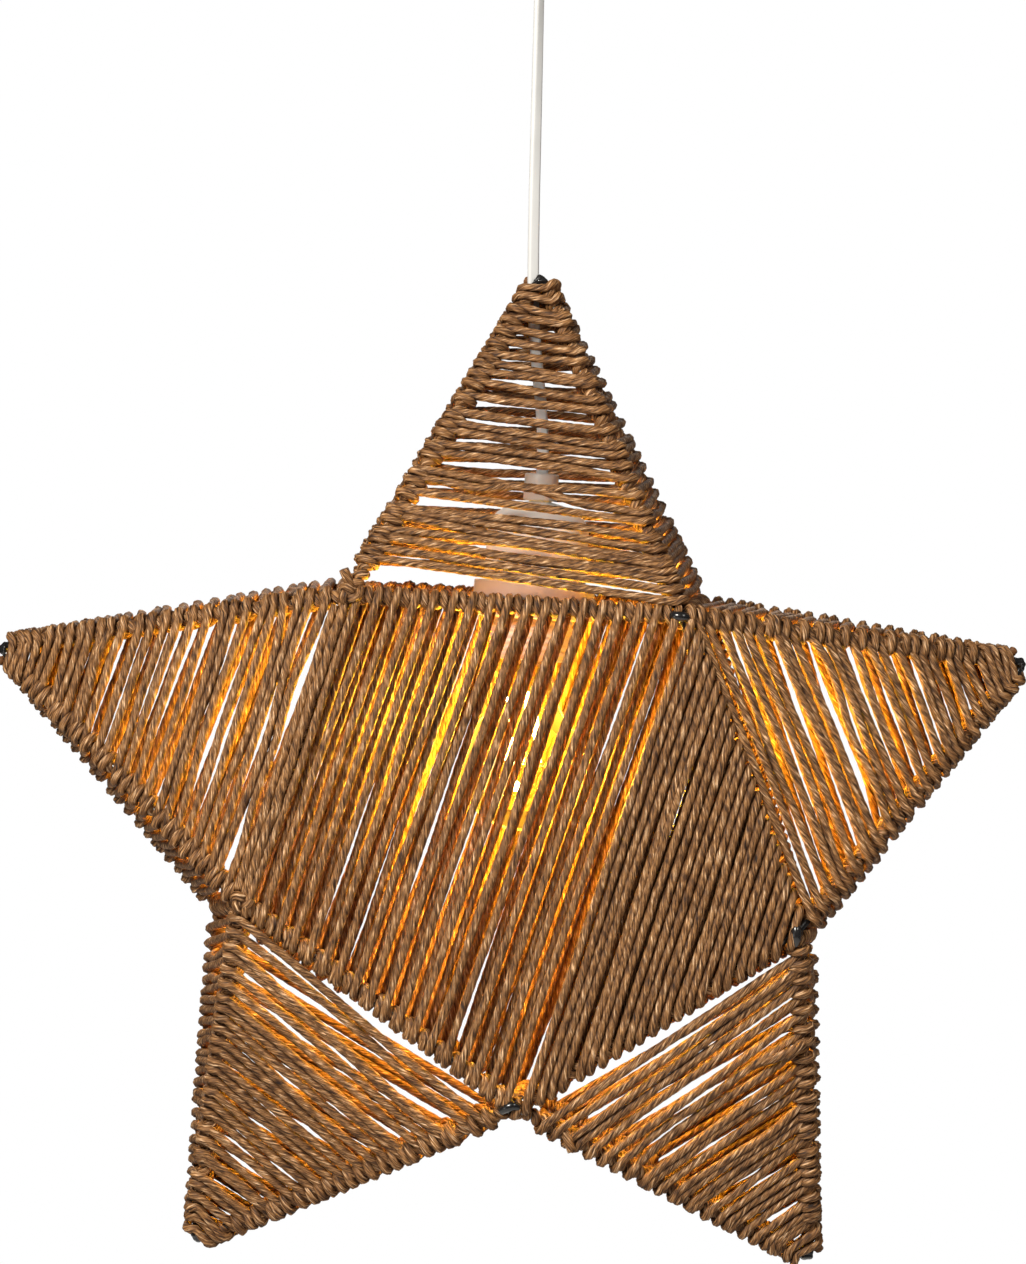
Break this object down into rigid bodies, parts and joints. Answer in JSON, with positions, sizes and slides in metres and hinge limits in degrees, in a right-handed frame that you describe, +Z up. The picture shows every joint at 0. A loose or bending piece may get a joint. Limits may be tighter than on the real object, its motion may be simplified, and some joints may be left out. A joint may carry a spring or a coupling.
{
  "type": "hanging star lamp",
  "caption": "Hanging star lamp: a welded wire frame wound with paper rope, with a screw lampholder and a bulb inside, on a flat flex from a ceiling rose.",
  "frame": {"origin": "middle of the ceiling rose's flat back, on the ceiling", "axes": "+Z up, the star's front looks along -Y, +X to the right as seen from the front"},
  "size_m": [0.4787, 0.1326, 0.6437],
  "materials": {
    "black_wire": "glossy black paint over steel wire",
    "paper_rope": "twisted kraft paper rope, matt, with fine loose shreds",
    "white_plastic": "white moulded plastic, half gloss",
    "block_plastic": "cream insulating plastic, matt",
    "flex_sheath": "smooth white flex sheath",
    "core_brown": "brown core sheath",
    "core_blue": "blue core sheath",
    "contact_brass": "plain brass",
    "nickel": "nickel plate",
    "black_glass": "black vitrite glass",
    "bulb_glass": "clear warm tinted glass",
    "filament": "glowing filament rod"
  },
  "bodies": {
    "ceiling": {"rose_base": "white_plastic", "rose_terminal_block": "block_plastic", "rose_screw_left": "nickel", "rose_screw_right": "nickel"},
    "rose_cover": {"rose_cover": "white_plastic", "cord_gland": "white_plastic"},
    "collet": {"cord_collet": "block_plastic"},
    "star": {"flex_cord": "flex_sheath", "front_ring_wire": "black_wire", "back_ring_wire": "black_wire", "top_arm_front_wire": "black_wire", "top_arm_back_wire": "black_wire", "right_arm_front_wire": "black_wire", "right_arm_back_wire": "black_wire", "lower_right_arm_front_wire": "black_wire", "lower_right_arm_back_wire": "black_wire", "lower_left_arm_front_wire": "black_wire", "lower_left_arm_back_wire": "black_wire", "left_arm_front_wire": "black_wire", "left_arm_back_wire": "black_wire", "top_right_strut": "black_wire", "right_strut": "black_wire", "bottom_strut": "black_wire", "left_strut": "black_wire", "top_left_strut": "black_wire", "top_arm_winding": "paper_rope", "right_arm_winding": "paper_rope", "lower_right_arm_winding": "paper_rope", "lower_left_arm_winding": "paper_rope", "left_arm_winding": "paper_rope", "front_panel_winding": "paper_rope", "back_panel_winding": "paper_rope", "fitter_ring": "black_wire", "fitter_spoke_front": "black_wire", "fitter_spoke_back": "black_wire", "holder_skirt": "white_plastic", "holder_cap": "white_plastic", "holder_nipple": "white_plastic", "contact_block": "block_plastic", "screw_shell": "contact_brass", "centre_contact": "contact_brass", "side_contact": "contact_brass", "terminal_screw_live": "contact_brass", "terminal_screw_neutral": "contact_brass", "live_core": "core_brown", "neutral_core": "core_blue"},
    "shade_ring": {"shade_ring": "white_plastic"},
    "bulb": {"bulb_glass": "bulb_glass", "bulb_cap": "nickel", "bulb_insulator": "black_glass", "bulb_contact": "contact_brass", "bulb_stem": "bulb_glass", "filament_spider": "nickel", "filament_1": "filament", "filament_2": "filament", "filament_3": "filament", "filament_4": "filament"}
  },
  "joints": [
    {"name": "cover_turn", "type": "hinge", "parent": "ceiling", "child": "rose_cover", "pos_m": [0, 0, -0.02], "axis": [0, 0, 1], "range_deg": [-90, 0]},
    {"name": "star_turn", "type": "hinge", "parent": "ceiling", "child": "collet", "pos_m": [0, 0, -0.034], "axis": [0, 0, 1], "range_deg": [-90, 90]},
    {"name": "star_sway", "type": "hinge", "parent": "collet", "child": "star", "pos_m": [0, 0, -0.034], "axis": [0, 1, 0], "range_deg": [-12, 12]},
    {"name": "ring_turn", "type": "hinge", "parent": "star", "child": "shade_ring", "pos_m": [0.0042, 0, -0.3385], "axis": [0.0436, 0, 0.999], "range_deg": [-1080, 0]},
    {"name": "bulb_turn", "type": "hinge", "parent": "star", "child": "bulb", "pos_m": [0.0042, 0, -0.3385], "axis": [0.0436, 0, 0.999], "range_deg": [-1080, 0]}
  ]
}
